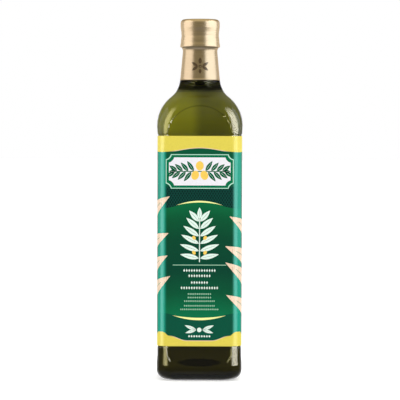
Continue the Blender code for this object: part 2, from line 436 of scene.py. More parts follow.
def glass_material():
    """Clear olive-green glass: smooth, faintly wavy from the mould, coloured through its thickness."""
    material = start_material("olive_green_glass")
    shader = main_shader(material)
    nodes = material.node_tree.nodes
    links = material.node_tree.links
    shader.inputs["Transmission Weight"].default_value = 1.0
    shader.inputs["IOR"].default_value = GLASS_IOR
    shader.inputs["Roughness"].default_value = 0.0
    place = own_place(material)
    raised(material, noise(material, place, 55.0, 1.0), 0.12, 0.4 * MM)
    height = split_up(material, place)["Z"]
    # Painted shade: the surface colour darkens in a thin line along the rim of the arch.
    reach = calculated(material, "SQRT", ellipse_reach(material, place, ARCH_SPRING, PANEL_REACH, ARCH_RISE))
    inner = faded(material, reach, 0.935, 0.97)
    outer = calculated(material, "SUBTRACT", 1.0, faded(material, reach, 0.98, 1.0))
    edge = calculated(material, "MULTIPLY", inner, outer)
    clear = printed(material, edge, CLEAR_TINT, ARCH_SHADE_TINT)
    # Painted shade: a darker, bluish band in the glass's colour round the brim of the oil.
    brim = faded(material, height, OIL_LEVEL - BRIM_EDGE, OIL_LEVEL + BRIM_EDGE)
    clear = printed(material, brim, clear, BRIM_SHADE_TINT)
    clear = printed(material, faded(material, height, *COLLAR_FOOT), clear, COLLAR_TINT)
    links.new(clear, shader.inputs["Base Color"])
    colour = nodes.new("ShaderNodeVolumeAbsorption")
    colour.inputs["Color"].default_value = GLASS_COLOUR
    colour.inputs["Density"].default_value = GLASS_DENSITY
    links.new(colour.outputs["Volume"], nodes["Material Output"].inputs["Volume"])
    shaded = nodes.new("ShaderNodeBsdfRefraction")
    shaded.inputs["IOR"].default_value = GLASS_IOR
    shaded.inputs["Roughness"].default_value = 0.0
    links.new(clear, shaded.inputs["Color"])
    # Painted shade: from the oil's level up, the glass is mostly a plain refraction without its reflections, so
    # no glints show on the neck.
    neck_glints_cut = nodes.new("ShaderNodeMixShader")
    glint_cut_mask = faded(material, height, OIL_LEVEL, OIL_LEVEL + GLINT_CUT_FADE)
    links.new(calculated(material, "MULTIPLY", glint_cut_mask, NECK_GLINT_CUT), neck_glints_cut.inputs["Fac"])
    links.new(shader.outputs["BSDF"], neck_glints_cut.inputs[1])
    links.new(shaded.outputs["BSDF"], neck_glints_cut.inputs[2])
    links.new(neck_glints_cut.outputs["Shader"], nodes["Material Output"].inputs["Surface"])
    return material


bottle = start_mesh("bottle_glass_walls")
stack_levels(bottle, bottle_outside_levels())
foot_share = 1 - STANDING_RING / (HEEL_HALF_WIDTH - HEEL_WIDTH)
close_with_dome(bottle, 0.0, punt_steps(foot_share, PUNT_HEIGHT))
arch_angles = [math.pi / 2 * step / ARCH_COLUMNS for step in range(ARCH_COLUMNS + 1)]
arch_columns = [PANEL_REACH * math.cos(angle) for angle in arch_angles] + [PANEL_REACH - PANEL_RIM]
arch_columns[ARCH_COLUMNS] = 0.0
corner_angles = [math.pi / 2 * step / CORNER_COLUMNS for step in range(CORNER_COLUMNS + 1)]
corner_start = PANEL_REACH - PANEL_CORNER
foot_columns = [corner_start + PANEL_CORNER * math.sin(angle) for angle in corner_angles]
foot_columns.append(PANEL_REACH - PANEL_RIM)
for quarter in range(4):
    facing = quarter * math.pi / 2
    arch_ends = (UNDER_LABEL[1], ARCH_SPRING + ARCH_RISE)
    sink_panel(bottle, facing, arch_line, mirrored_columns(arch_columns), arch_ends)
    sink_panel(bottle, facing, foot_line, mirrored_columns(foot_columns), (UNDER_LABEL[0], PANEL_FOOT))
finish_mesh(bottle, angle=12)

lining = start_mesh("bottle_inside")
inside = floor_levels(GLASS_WALL) + shoulder_levels(GLASS_WALL, 24)
inside += [(MOUTH_RADIUS + 0.6 * MM, ROUND, 270.0 * MM), (MOUTH_RADIUS, ROUND, NECK_TOP)]
stack_levels(lining, inside)
close_with_dome(lining, FLOOR_HEIGHT, punt_steps(1.0, PUNT_HEIGHT))
finish_mesh(lining, angle=30)

bottle.select_set(True)
lining.select_set(True)
bpy.context.view_layer.objects.active = bottle
bpy.ops.object.join()
bpy.ops.object.mode_set(mode="EDIT")
select_where(bottle, "VERT", lambda v: abs(v.co.z - NECK_TOP) < TINY)
bpy.ops.mesh.bridge_edge_loops()
finish_mesh(bottle, angle=12)
bottle.data.materials.append(glass_material())
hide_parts("glass_bottle")
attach(bottle, "root")


# Oil
# Green-gold olive oil, which fills the bottle up into the foot of the neck and creeps up the
# glass a little at its edge. It reaches a hair into the glass, so that no air shows between them.
# Its colour carries painted light and shade: lighter on its left, darker towards the base, and a painted shadow
# above the pushed-up part.
OIL_REACH = 0.08 * MM
MENISCUS = 0.4 * MM
PUNT_SHADE = (14.6 * MM, 17.0 * MM, 3.4 * MM)
SHADED_OIL = (0.42, 0.42, 0.045, 1.0)
LIT_OIL = (0.75, 0.74, 0.06, 1.0)
LOW_SHADED_OIL = (0.10, 0.09, 0.02, 1.0)
PUNT_SHADOW_OIL = (0.004, 0.005, 0.004, 1.0)
LIT_SIDE = (3.0 * MM, -8.0 * MM)
LIT_HEIGHT = (30.0 * MM, 190.0 * MM)


def oil_material():
    """Cloudy green-gold oil, in which light spreads far; its colour is painted lighter on the left, darker
    towards the base and darkest above the pushed-up base.
    """
    material = start_material("olive_oil_liquid")
    shader = main_shader(material)
    shader.inputs["Subsurface Weight"].default_value = 1.0
    shader.inputs["Subsurface Radius"].default_value = (0.030, 0.028, 0.006)
    shader.inputs["Subsurface Scale"].default_value = 1.0
    shader.inputs["IOR"].default_value = 1.47
    shader.inputs["Roughness"].default_value = 0.0
    place = own_place(material)
    axes = split_up(material, place)
    # Painted light and shade: the oil is lighter olive on its left side and darker towards the base.
    colour = printed(material, faded(material, axes["X"], *LIT_SIDE), SHADED_OIL, LIT_OIL)
    colour = printed(material, faded(material, axes["Z"], *LIT_HEIGHT), LOW_SHADED_OIL, colour)
    # Painted shadow: the oil is nearly black in an ellipse just above the pushed-up base.
    out_of_punt_shadow = faded(material, ellipse_reach(material, place, *PUNT_SHADE), 0.5, 1.3)
    colour = printed(material, out_of_punt_shadow, PUNT_SHADOW_OIL, colour)
    feed(material, shader.inputs["Base Color"], colour)
    return material


oil = start_mesh("oil_body")
oil_inset = GLASS_WALL - OIL_REACH
wetted = floor_levels(oil_inset)
wetted += [level for level in shoulder_levels(oil_inset, 40) if level[2] < OIL_LEVEL + MENISCUS]
stack_levels(oil, wetted)
close_with_dome(oil, wetted[0][2], punt_steps(1.0, PUNT_HEIGHT))
brim = wetted[-1][2]
fall = OIL_LEVEL - brim
close_with_dome(oil, brim, [(0.97, fall * 0.6), (0.93, fall * 0.9), (0.86, fall), (0.1, fall)])
finish_mesh(oil, angle=30)
oil.data.materials.append(oil_material())
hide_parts("olive_oil")
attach(oil, "root")


# Paper label
# One sheet of coated paper, wrapped round all four sides. It is printed green, which turns to
# teal on the corners, with an arched yellow band along each edge and a darker patterned band
# below the plaque. The fields of colour repeat on each side.
LABEL_BOTTOM = 27.7 * MM
LABEL_TOP = 193.2 * MM
LABEL_OUTSIDE = 33.5 * MM
LABEL_PAPER = 0.35 * MM
LABEL_CORNER = LABEL_OUTSIDE - CORNER_FLAT
SIDE_LENGTH = 2 * CORNER_FLAT + LABEL_CORNER * math.pi / 2
TOP_BAND = 180.5 * MM
TOP_BAND_ARCH = 3.5 * MM
BOTTOM_BAND = 36.3 * MM
BOTTOM_BAND_ARCH = -4.5 * MM
BAND_LINE = 0.45 * MM
PATTERN_BAND = (136.0 * MM, 153.5 * MM)
PATTERN_ARCH = 5.8 * MM
PATTERN_PITCH = (2.1 * MM, 3.4 * MM)
LOW_FIELD = 54.0 * MM
LOW_FIELD_ARCH = -5.7 * MM
TEAL_EDGE = (25.5 * MM, 28.5 * MM)
YELLOW = (214, 198, 78)
PEACH = (228, 199, 172)
TEAL = (0, 156, 130)
FIELD_FOOT = (0, 106, 66)
FIELD_GREENS = ((0.2, (0, 80, 50)), (0.4, (0, 64, 45)), (0.68, (0, 68, 44)), (0.86, (0, 82, 48)))
FIELD_TOP = (0, 103, 59)
LOW_GREEN = (0, 78, 57)
TOP_GREEN = (0, 80, 52)
PATTERN_GROUND = (0, 38, 33)
PATTERN_LINES = (4, 66, 56)


def linear(red, green, blue):
    """An sRGB colour, 0 to 255 a channel, as the linear colour that a shader takes."""
    channels = []
    for value in (red, green, blue):
        share = value / 255
        channels.append(share / 12.92 if share <= 0.04045 else ((share + 0.055) / 1.055) ** 2.4)
    return (*channels, 1.0)


def paper_shader(material, colour):
    """Satin varnished paper: its grain darkens the colour a little, and also shows as relief."""
    shader = main_shader(material)
    grain = noise(material, own_place(material), 900.0, 3.0)
    grained = printed(material, grain, colour, (0.8, 0.8, 0.8, 1.0), "MULTIPLY")
    feed(material, shader.inputs["Base Color"], grained)
    raised(material, grain, 0.15, 0.02 * MM)
    shader.inputs["Roughness"].default_value = 0.22
    shader.inputs["Specular IOR Level"].default_value = 0.2


def label_material():
    """The label's fields of colour, from how far along its side and how high a point is."""
    material = start_material("printed_label_paper")
    nodes = material.node_tree.nodes
    print_place = nodes.new("ShaderNodeUVMap")
    print_place.uv_map = "print"
    axes = split_up(material, print_place.outputs["UV"])
    across, height = axes["X"], axes["Y"]
    turned = calculated(material, "MULTIPLY", across, 2 * math.pi / SIDE_LENGTH)
    swing = calculated(material, "COSINE", turned)
    arch = calculated(material, "MULTIPLY_ADD", swing, 0.5)
    arch.node.inputs[2].default_value = 0.5

    def below_arch(rise, bend=arch):
        """The height less the arch's rise there, so that an arched edge is at one value."""
        risen = calculated(material, "MULTIPLY", bend, rise)
        return calculated(material, "SUBTRACT", height, risen)

    field_height = nodes.new("ShaderNodeMapRange")
    field_height.inputs["From Min"].default_value = 50.0 * MM
    field_height.inputs["From Max"].default_value = 140.0 * MM
    feed(material, field_height.inputs["Value"], below_arch(0.5 * PATTERN_ARCH))
    greens = nodes.new("ShaderNodeValToRGB")
    feed(material, greens.inputs["Fac"], field_height.outputs["Result"])
    stops = greens.color_ramp.elements
    stops[0].color = linear(*FIELD_FOOT)
    stops[1].color = linear(*FIELD_TOP)
    for place, colour in FIELD_GREENS:
        stops.new(place).color = linear(*colour)
    low = calculated(material, "LESS_THAN", below_arch(LOW_FIELD_ARCH), LOW_FIELD)
    colour = printed(material, low, greens.outputs["Color"], linear(*LOW_GREEN))

    columns = calculated(material, "DIVIDE", across, PATTERN_PITCH[0])
    rows = calculated(material, "DIVIDE", height, PATTERN_PITCH[1])
    strands = []
    for operation in ("ADD", "SUBTRACT"):
        strand = calculated(material, "FRACT", calculated(material, operation, columns, rows))
        strands.append(calculated(material, "ABSOLUTE", calculated(material, "SUBTRACT", strand, 0.5)))
    lattice = calculated(material, "GREATER_THAN", calculated(material, "MAXIMUM", *strands), 0.36)
    pattern = printed(material, lattice, linear(*PATTERN_GROUND), linear(*PATTERN_LINES))
    patterned = calculated(material, "GREATER_THAN", below_arch(PATTERN_ARCH), PATTERN_BAND[0])
    colour = printed(material, patterned, colour, pattern)
    above = faded(material, height, PATTERN_BAND[1] - 1.5 * MM, PATTERN_BAND[1] + 1.5 * MM)
    colour = printed(material, above, colour, linear(*TOP_GREEN))

    corner = faded(material, calculated(material, "ABSOLUTE", across), *TEAL_EDGE)
    teal_share = calculated(material, "MULTIPLY", corner, 0.75)
    colour = printed(material, teal_share, colour, linear(*TEAL))

    # The lower band is deepest in the middle of a side, and its edge steps up to the corners.
    at_corner = calculated(material, "MULTIPLY", faded(material, arch, 0.12, 0.0), 0.6)
    sagging = calculated(material, "SUBTRACT", faded(material, arch, 0.0, 0.8), at_corner)
    for edge, rise, bend, operation, side in (
        (TOP_BAND, TOP_BAND_ARCH, arch, "GREATER_THAN", -1),
        (BOTTOM_BAND, BOTTOM_BAND_ARCH, sagging, "LESS_THAN", 1),
    ):
        level = below_arch(rise, bend)
        lined = calculated(material, operation, level, edge + side * BAND_LINE)
        lined = calculated(material, "MULTIPLY", lined, faded(material, arch, 0.1, 0.4))
        colour = printed(material, lined, colour, linear(*PEACH))
        colour = printed(material, calculated(material, operation, level, edge), colour, linear(*YELLOW))
    paper_shader(material, colour)
    return material


label = start_mesh("paper_label")
stack_levels(label, [(LABEL_OUTSIDE, CORNER_FLAT, LABEL_BOTTOM), (LABEL_OUTSIDE, CORNER_FLAT, LABEL_TOP)])
finish_mesh(label, angle=30)
paper = label.modifiers.new("paper", "SOLIDIFY")
paper.thickness = LABEL_PAPER
paper.offset = -1.0
bpy.context.view_layer.objects.active = label
bpy.ops.object.modifier_apply(modifier=paper.name)
label.select_set(True)
bpy.ops.object.shade_smooth_by_angle(angle=math.radians(30))
print_map = label.data.uv_layers.new(name="print")
for face in label.data.polygons:
    side = round(math.atan2(face.center.x, -face.center.y) / (math.pi / 2))
    to_front = Matrix.Rotation(-side * math.pi / 2, 3, "Z")
    for loop in face.loop_indices:
        place = to_front @ label.data.vertices[label.data.loops[loop].vertex_index].co
        beyond = max(0.0, abs(place.x) - CORNER_FLAT)
        along = min(abs(place.x), CORNER_FLAT)
        along += LABEL_CORNER * math.atan2(beyond, -place.y - CORNER_FLAT)
        print_map.data[loop].uv = (math.copysign(along, place.x), place.z)
label.data.materials.append(label_material())
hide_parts("label")
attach(label, "root")


# Plaque
# A white field with notched corners inside a green band and a thin pale keyline, printed near
# the top of the label's front and back. Inks are thin films that lie on the paper.
INK = 0.012 * MM
INK_STEP = 0.016 * MM
CORNER_SCORES = 10
PLAQUE_HEIGHT = 165.3 * MM
PLAQUE_NOTCH = 4.0 * MM
WHITE = (226, 224, 229)
PALE_GREEN = (176, 222, 200)
BAND_GREEN = (0, 104, 66)


def on_label(across, height, lift):
    """A point that far along the label from the front's middle, above its paper by the lift."""
    side = round(across / SIDE_LENGTH)
    along = across - side * SIDE_LENGTH
    angle = max(0.0, abs(along) - CORNER_FLAT) / LABEL_CORNER
    radius = LABEL_CORNER + lift
    aside = min(abs(along), CORNER_FLAT) + radius * math.sin(angle)
    place = Vector((math.copysign(aside, along), -CORNER_FLAT - radius * math.cos(angle), height))
    return Matrix.Rotation(side * math.pi / 2, 3, "Z") @ place


def ink_material(name, colour):
    """Ink of an sRGB colour on the label's paper, which takes its grain."""
    material = start_material(name)
    paper_shader(material, linear(*colour))
    return material


def make_film(piece, material):
    """Gives a design that is already wrapped on its surface the thickness of ink, and its material."""
    bpy.ops.object.select_all(action="DESELECT")
    bpy.context.view_layer.objects.active = piece
    piece.select_set(True)
    film = piece.modifiers.new("film", "SOLIDIFY")
    film.thickness = INK
    film.offset = -1.0
    bpy.ops.object.modifier_apply(modifier=film.name)
    bpy.ops.object.shade_smooth_by_angle(angle=math.radians(35))
    piece.select_set(False)
    piece.data.materials.clear()
    piece.data.materials.append(material)
    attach(piece, "root")


def print_on_label(piece, layer, material, also_at_back=True):
    """Lays a design, drawn flat in XZ with X along the label, on the paper as a film of ink."""
    bpy.ops.object.select_all(action="DESELECT")
    bpy.context.view_layer.objects.active = piece
    piece.select_set(True)
    bpy.ops.object.mode_set(mode="EDIT")
    bpy.ops.mesh.select_all(action="SELECT")
    if also_at_back:
        back = (2 * SIDE_LENGTH, 0, 0)
        bpy.ops.mesh.duplicate_move(TRANSFORM_OT_translate={"value": back})
    bpy.ops.mesh.select_all(action="SELECT")
    reached = [vertex.co.x for vertex in bmesh.from_edit_mesh(piece.data).verts]
    for side in range(-2, 3):
        for score in range(CORNER_SCORES + 1):
            across = side * SIDE_LENGTH + CORNER_FLAT
            across += (SIDE_LENGTH - 2 * CORNER_FLAT) * score / CORNER_SCORES
            if min(reached) < across < max(reached):
                bpy.ops.mesh.select_all(action="SELECT")
                bpy.ops.mesh.bisect(plane_co=(across, 0, 0), plane_no=(1, 0, 0))
    bpy.ops.object.mode_set(mode="OBJECT")
    for vertex in piece.data.vertices:
        vertex.co = on_label(vertex.co.x, vertex.co.z, INK + layer * INK_STEP)
    bpy.ops.object.mode_set(mode="EDIT")
    level = Vector((1, 1, 0))
    select_where(piece, "FACE", lambda face: face.normal.dot(face.calc_center_median() * level) < 0)
    bpy.ops.mesh.flip_normals()
    bpy.ops.mesh.select_all(action="DESELECT")
    bpy.ops.object.mode_set(mode="OBJECT")
    make_film(piece, material)


white_ink = ink_material("white_ink", WHITE)
pale_ink = ink_material("pale_green_ink", PALE_GREEN)
green_ink = ink_material("green_ink", BAND_GREEN)
for name, width, tall, layer, ink in (
    ("plaque_keyline", 53.4 * MM, 27.0 * MM, 0, pale_ink),
    ("plaque_band", 52.2 * MM, 25.8 * MM, 1, green_ink),
    ("plaque_field", 48.4 * MM, 22.0 * MM, 2, white_ink),
):
    plaque = start_mesh(name)
    middle = (0, 0, PLAQUE_HEIGHT)
    bpy.ops.mesh.primitive_plane_add(size=1, location=middle, rotation=(math.pi / 2, 0, 0))
    bpy.ops.transform.resize(value=(width, 1, tall), center_override=middle)
    bpy.ops.mesh.bevel(offset=PLAQUE_NOTCH, segments=8, affect="VERTICES", profile=0.12)
    bpy.ops.object.mode_set(mode="OBJECT")
    print_on_label(plaque, layer, ink)


# Olive branches
# The plaque, the middle of the label and its foot carry plain olive branches: leaves in pairs
# along a stem, each split along its midrib, and small round olives.
GOLD_OLIVE = (236, 196, 88)
LEAF_GREEN = (0, 92, 56)
OFF_WHITE = (216, 234, 222)


def leaf_shape():
    """A pointed leaf one long and one wide, lying along X in the XZ plane from its stalk at the origin."""
    leaf = start_mesh("leaf_shape")
    bpy.ops.mesh.primitive_grid_add(
        x_subdivisions=10,
        y_subdivisions=3,
        size=1,
        location=(0.5, 0, 0),
        rotation=(math.pi / 2, 0, 0),
    )
    select_where(leaf, "VERT", lambda v: abs(v.co.z) < 0.3)
    bpy.ops.transform.resize(value=(1, 1, 0.15), center_override=(0, 0, 0))
    for step in range(11):
        along = step / 10
        width = max(0.02, math.sin(math.pi * along**0.85) ** 0.9)
        select_where(leaf, "VERT", lambda v: abs(v.co.x - along) < 0.01)
        bpy.ops.transform.resize(value=(1, 1, width), center_override=(0, 0, 0))
    select_where(leaf, "FACE", lambda f: abs(f.calc_center_median().z) < 0.01 and f.calc_center_median().x < 0.8)
    bpy.ops.mesh.delete(type="FACE")
    bpy.ops.object.mode_set(mode="OBJECT")
    return leaf


def olive_shape():
    """A round outline one across, in the XZ plane about the origin."""
    olive = start_mesh("olive_shape")
    bpy.ops.mesh.primitive_circle_add(vertices=20, radius=0.5, fill_type="NGON", rotation=(math.pi / 2, 0, 0))
    bpy.ops.object.mode_set(mode="OBJECT")
    return olive


def lay_out(name, shape, places):
    """Copies of a flat shape joined in one piece, at each (across, height, length, width, degrees)."""
    bpy.ops.object.select_all(action="DESELECT")
    for across, height, length, width, degrees in places:
        copy = shape.copy()
        copy.data = shape.data.copy()
        copy.location = (across, 0, height)
        copy.rotation_euler = (0, -math.radians(degrees), 0)
        copy.scale = (length, 1, width)
        bpy.context.scene.collection.objects.link(copy)
        copy.select_set(True)
    bpy.context.view_layer.objects.active = copy
    bpy.ops.object.join()
    bpy.ops.object.transform_apply()
    piece = bpy.context.object
    piece.name = name
    piece.data.name = name
    return piece


def stems(name, paths, nib):
    """Strokes along paths of (across, height) points, as wide as the nib: (across, height)."""
    piece = start_mesh(name)
    for path in paths:
        bpy.ops.mesh.select_all(action="DESELECT")
        (across, height), *rest = path
        start = (across - nib[0] / 2, 0, height - nib[1] / 2)
        bpy.ops.mesh.primitive_plane_add(size=0.001, location=start)
        bpy.ops.mesh.merge(type="CENTER")
        for next_across, next_height in rest:
            move = (next_across - across, 0, next_height - height)
            bpy.ops.mesh.extrude_region_move(TRANSFORM_OT_translate={"value": move})
            across, height = next_across, next_height
        bpy.ops.mesh.select_linked()
        bpy.ops.mesh.extrude_region_move(TRANSFORM_OT_translate={"value": (nib[0], 0, nib[1])})
    bpy.ops.object.mode_set(mode="OBJECT")
    return piece


def both_ways(places):
    """The places, and the same mirrored about the middle of the side."""
    return places + [(-x, z, long, wide, 180 - turn) for x, z, long, wide, turn in places]


leaf = leaf_shape()
olive = olive_shape()

# The plaque's branch lies level, with three olives in its middle.
level_leaves = []
for step in range(4):
    out = (4.6 + 4.4 * step) * MM
    size = (9.6 - 0.7 * step) * MM
    level_leaves.append((out, PLAQUE_HEIGHT + 0.3 * MM, size, 3.2 * MM, 56 - 7 * step))
    level_leaves.append((out + 2.0 * MM, PLAQUE_HEIGHT - 0.3 * MM, size, 3.2 * MM, -52 + 7 * step))
level_leaves.append((19.0 * MM, PLAQUE_HEIGHT, 5.0 * MM, 2.6 * MM, 0))
dark_ink = ink_material("leaf_green_ink", LEAF_GREEN)
branch = lay_out("plaque_leaves", leaf, both_ways(level_leaves))
print_on_label(branch, 3, dark_ink)
level_stem = [(-20.5 * MM, PLAQUE_HEIGHT), (20.5 * MM, PLAQUE_HEIGHT)]
print_on_label(stems("plaque_stem", [level_stem], (0, 0.7 * MM)), 3, dark_ink)
gold_ink = ink_material("gold_ink", GOLD_OLIVE)
three = [(0, 4.4, 7.4, 6.2, 90), (-3.6, -3.0, 7.4, 6.0, 70), (3.6, -3.0, 7.4, 6.0, 110)]
clusters = [(x * MM, PLAQUE_HEIGHT + z * MM, a * MM, b * MM, turn) for x, z, a, b, turn in three]
print_on_label(lay_out("plaque_olives", olive, clusters), 4, gold_ink)

# The tall branch in the middle of the label, off-white.
BRANCH_FOOT = 97.0 * MM
BRANCH_TOP = 128.0 * MM
LEAF_PAIRS = 6
off_white_ink = ink_material("off_white_ink", OFF_WHITE)
tall_leaves = []
for step in range(LEAF_PAIRS):
    share = step / (LEAF_PAIRS - 1)
    height = slope_between(BRANCH_FOOT, BRANCH_TOP - 2 * MM, share)
    length = (20.0 - 8.5 * share - 5.0 * (1 - share) ** 3) * MM
    tall_leaves.append((0.5 * MM, height, length, 4.0 * MM, 12 + 36 * share))
top_leaf = [(0, BRANCH_TOP, 9.0 * MM, 3.6 * MM, 90)]
print_on_label(lay_out("tall_branch_leaves", leaf, both_ways(tall_leaves) + top_leaf), 1, off_white_ink)
tall_stem = [(0, BRANCH_FOOT - 3 * MM), (0, BRANCH_TOP)]
print_on_label(stems("tall_branch_stem", [tall_stem], (0.7 * MM, 0)), 1, off_white_ink)
tall_olives = []
for step in (0.5, 2.5):
    height = slope_between(BRANCH_FOOT, BRANCH_TOP - 2 * MM, step / (LEAF_PAIRS - 1))
    tall_olives.append((4.4 * MM, height + 1.6 * MM, 3.4 * MM, 2.6 * MM, 60))
print_on_label(lay_out("tall_branch_olives", olive, both_ways(tall_olives)), 2, gold_ink)

# The foot's sprig: an olive between two pairs of leaves.
SPRIG_HEIGHT = 40.6 * MM
sprig = [
    (2.5 * MM, SPRIG_HEIGHT, 9.6 * MM, 2.6 * MM, 22),
    (2.5 * MM, SPRIG_HEIGHT, 8.8 * MM, 2.4 * MM, -16),
]
print_on_label(lay_out("foot_sprig_leaves", leaf, both_ways(sprig)), 1, off_white_ink)
print_on_label(lay_out("foot_sprig_olive", olive, [(0, SPRIG_HEIGHT, 3.6 * MM, 3.6 * MM, 0)]), 1, off_white_ink)


# Crescents and small ornaments
# A pale yellow crescent closes the patterned band and another one the bright field below, and
# between them are a fine rule and rows of lozenges and dots, larger above and smaller below.
PALE_YELLOW = (238, 240, 156)


def crescent(name, half_width, end_height, rise, thickness):
    """An arc that tapers to points at both its ends, drawn flat: rise is its bend, down if negative."""
    columns = 24
    piece = start_mesh(name)
    upright = (math.pi / 2, 0, 0)
    bpy.ops.mesh.primitive_grid_add(x_subdivisions=columns, y_subdivisions=1, size=1, rotation=upright)
    bpy.ops.transform.resize(value=(2 * half_width, 1, thickness), center_override=(0, 0, 0))
    bpy.ops.transform.translate(value=(0, 0, end_height))
    for column in range(columns + 1):
        across = slope_between(-half_width, half_width, column / columns)
        share = 1 - (across / half_width) ** 2
        select_where(piece, "VERT", lambda v: abs(v.co.x - across) < 0.1 * MM)
        bpy.ops.transform.resize(value=(1, 1, max(0.03, share)), center_override=(0, 0, end_height))
        bpy.ops.transform.translate(value=(0, 0, rise * share))
    bpy.ops.object.mode_set(mode="OBJECT")
    return piece


pale_yellow_ink = ink_material("pale_yellow_ink", PALE_YELLOW)
print_on_label(crescent("upper_crescent", 18.5 * MM, 138.6 * MM, 3.0 * MM, 1.3 * MM), 1, pale_yellow_ink)
print_on_label(crescent("lower_crescent", 21.0 * MM, 52.0 * MM, -2.8 * MM, 1.9 * MM), 1, pale_yellow_ink)
rule = [(-21.0 * MM, 91.7 * MM), (21.0 * MM, 91.7 * MM)]
sage_ink = ink_material("sage_ink", (150, 196, 166))
print_on_label(stems("fine_rule", [rule], (0, 0.55 * MM)), 1, sage_ink)


def lozenge_shape():
    """A square one across, to be squeezed and turned, in the XZ plane about the origin."""
    lozenge = start_mesh("lozenge_shape")
    bpy.ops.mesh.primitive_circle_add(vertices=4, radius=0.5, fill_type="NGON", rotation=(math.pi / 2, 0, 0))
    bpy.ops.object.mode_set(mode="OBJECT")
    return lozenge


lozenge = lozenge_shape()


def ornament_row(height, half_width, pitch, size):
    """Lozenges spaced evenly about the middle, out to the half width."""
    count = int(half_width / pitch)
    return [(step * pitch, height, size[0], size[1], 0) for step in range(-count, count + 1)]


large_rows = []
for height, half_width in ((87.4, 12.5), (83.2, 9.5), (77.9, 7.5), (73.7, 14.5)):
    large_rows += ornament_row(height * MM, half_width * MM, 2.0 * MM, (1.4 * MM, 2.5 * MM))
print_on_label(lay_out("ornament_rows_large", lozenge, large_rows), 1, off_white_ink)
small_rows = []
for height, half_width in ((68.9, 9.5), (66.1, 9.5), (63.3, 12.5), (59.6, 12.5), (56.8, 15.5)):
    small_rows += ornament_row(height * MM, half_width * MM, 1.45 * MM, (1.05 * MM, 1.7 * MM))
print_on_label(lay_out("ornament_rows_small", lozenge, small_rows), 1, sage_ink)
foot_rows = ornament_row(35.6 * MM, 8.0 * MM, 2.0 * MM, (1.6 * MM, 2.0 * MM))
print_on_label(lay_out("foot_ornament_row", lozenge, foot_rows), 1, off_white_ink)


# Peach branches
# On the label's sides a tall olive branch climbs from the foot to the shoulder. Its long
# peach leaves reach round the corners, so that their tips show from the front.
SIDE_BRANCH = (46.0 * MM, 109.0 * MM)
SIDE_LEAVES = 4

peach_ink = ink_material("peach_ink", PEACH)
peach_leaves = []
for side in (-1, 1):
    middle = side * SIDE_LENGTH
    for step in range(SIDE_LEAVES):
        height = slope_between(*SIDE_BRANCH, step / (SIDE_LEAVES - 1))
        for way in (0, 1):
            turn = 28 + 5 * math.sin(2.1 * step + way)
            length = (47 - 3 * way + 3 * math.sin(1.7 * step + 2 * way)) * MM
            rise = height + (12.0 * MM if way else 0.0)
            peach_leaves.append((middle, rise, length, 12.0 * MM, turn if way else 180 - turn))
    peach_leaves.append((middle, SIDE_BRANCH[1] + 16 * MM, 20 * MM, 8 * MM, 90))
print_on_label(lay_out("side_branch_leaves", leaf, peach_leaves), 1, peach_ink, also_at_back=False)
side_stems = [[(side * SIDE_LENGTH, 44.0 * MM), (side * SIDE_LENGTH, 127.0 * MM)] for side in (-1, 1)]
print_on_label(stems("side_branch_stems", side_stems, (1.1 * MM, 0)), 2, peach_ink, also_at_back=False)


# Neck sleeve and screw cap
# Gold-lacquered aluminium, spun in one and then cut through: the sleeve stays on the neck and the
# cap screws off it. Fine rings are rolled into the metal, the cap flares to a soft lip where it was
# cut, and the edges are turned in.
CAP_TOP = 286.2 * MM
CAP_EDGE = 3.0 * MM
CAP_ROOF = 285.0 * MM
CAP_BORE = 14.25 * MM
CAP_RADIUS = 15.6 * MM
CAP_BAND_BOTTOM = 281.5 * MM
CAP_WAIST = (14.85 * MM, 273.4 * MM)
CAP_FLARE = (15.35 * MM, 268.5 * MM)
LIP_RADIUS = 0.8 * MM
LIP_REACH = 15.85 * MM
LIP_HEIGHT = 264.6 * MM
CAP_BOTTOM = 263.9 * MM
SLEEVE_BOTTOM = (16.15 * MM, 237.6 * MM)
SLEEVE_WAIST = (13.75 * MM, 260.5 * MM)
SLEEVE_TOP = (14.7 * MM, 263.5 * MM)
SLEEVE_WALL = 0.4 * MM
SLEEVE_STEPS = 74
SLEEVE_ROLL = 0.3 * MM
TURNED_SIDES = 128
GOLD_DEEP = (0.83, 0.65, 0.42)
GOLD_PALE = (0.92, 0.74, 0.50)
GOLD_EDGE = (0.62, 0.54, 0.46, 1.0)


def rolled(height, rings):
    """How far rings stand out at a height, or in where negative: each is (height, depth, width)."""
    return sum(depth * math.exp(-(((height - middle) / width) ** 2)) for middle, depth, width in rings)


def cap_skirt():
    """(radius, height) down the cap's side, from its band to its lip."""
    rings = [
        (279.4 * MM, 0.05 * MM, 0.8 * MM),
        (274.4 * MM, 0.10 * MM, 0.9 * MM),
        (271.6 * MM, 0.05 * MM, 0.8 * MM),
    ]
    points = []
    height = CAP_TOP - CAP_EDGE
    while height > LIP_HEIGHT:
        if height > CAP_BAND_BOTTOM:
            radius = CAP_RADIUS
        elif height > CAP_WAIST[1]:
            share = (CAP_BAND_BOTTOM - height) / (CAP_BAND_BOTTOM - CAP_WAIST[1])
            radius = slope_between(CAP_RADIUS, CAP_WAIST[0], eased(share))
        elif height > CAP_FLARE[1]:
            share = (CAP_WAIST[1] - height) / (CAP_WAIST[1] - CAP_FLARE[1])
            radius = slope_between(CAP_WAIST[0], CAP_FLARE[0], eased(share))
        else:
            share = (CAP_FLARE[1] - height) / (CAP_FLARE[1] - LIP_HEIGHT)
            radius = slope_between(CAP_FLARE[0], LIP_REACH, eased(share))
        points.append((radius + rolled(height, rings), height))
        height -= 0.25 * MM
    return points


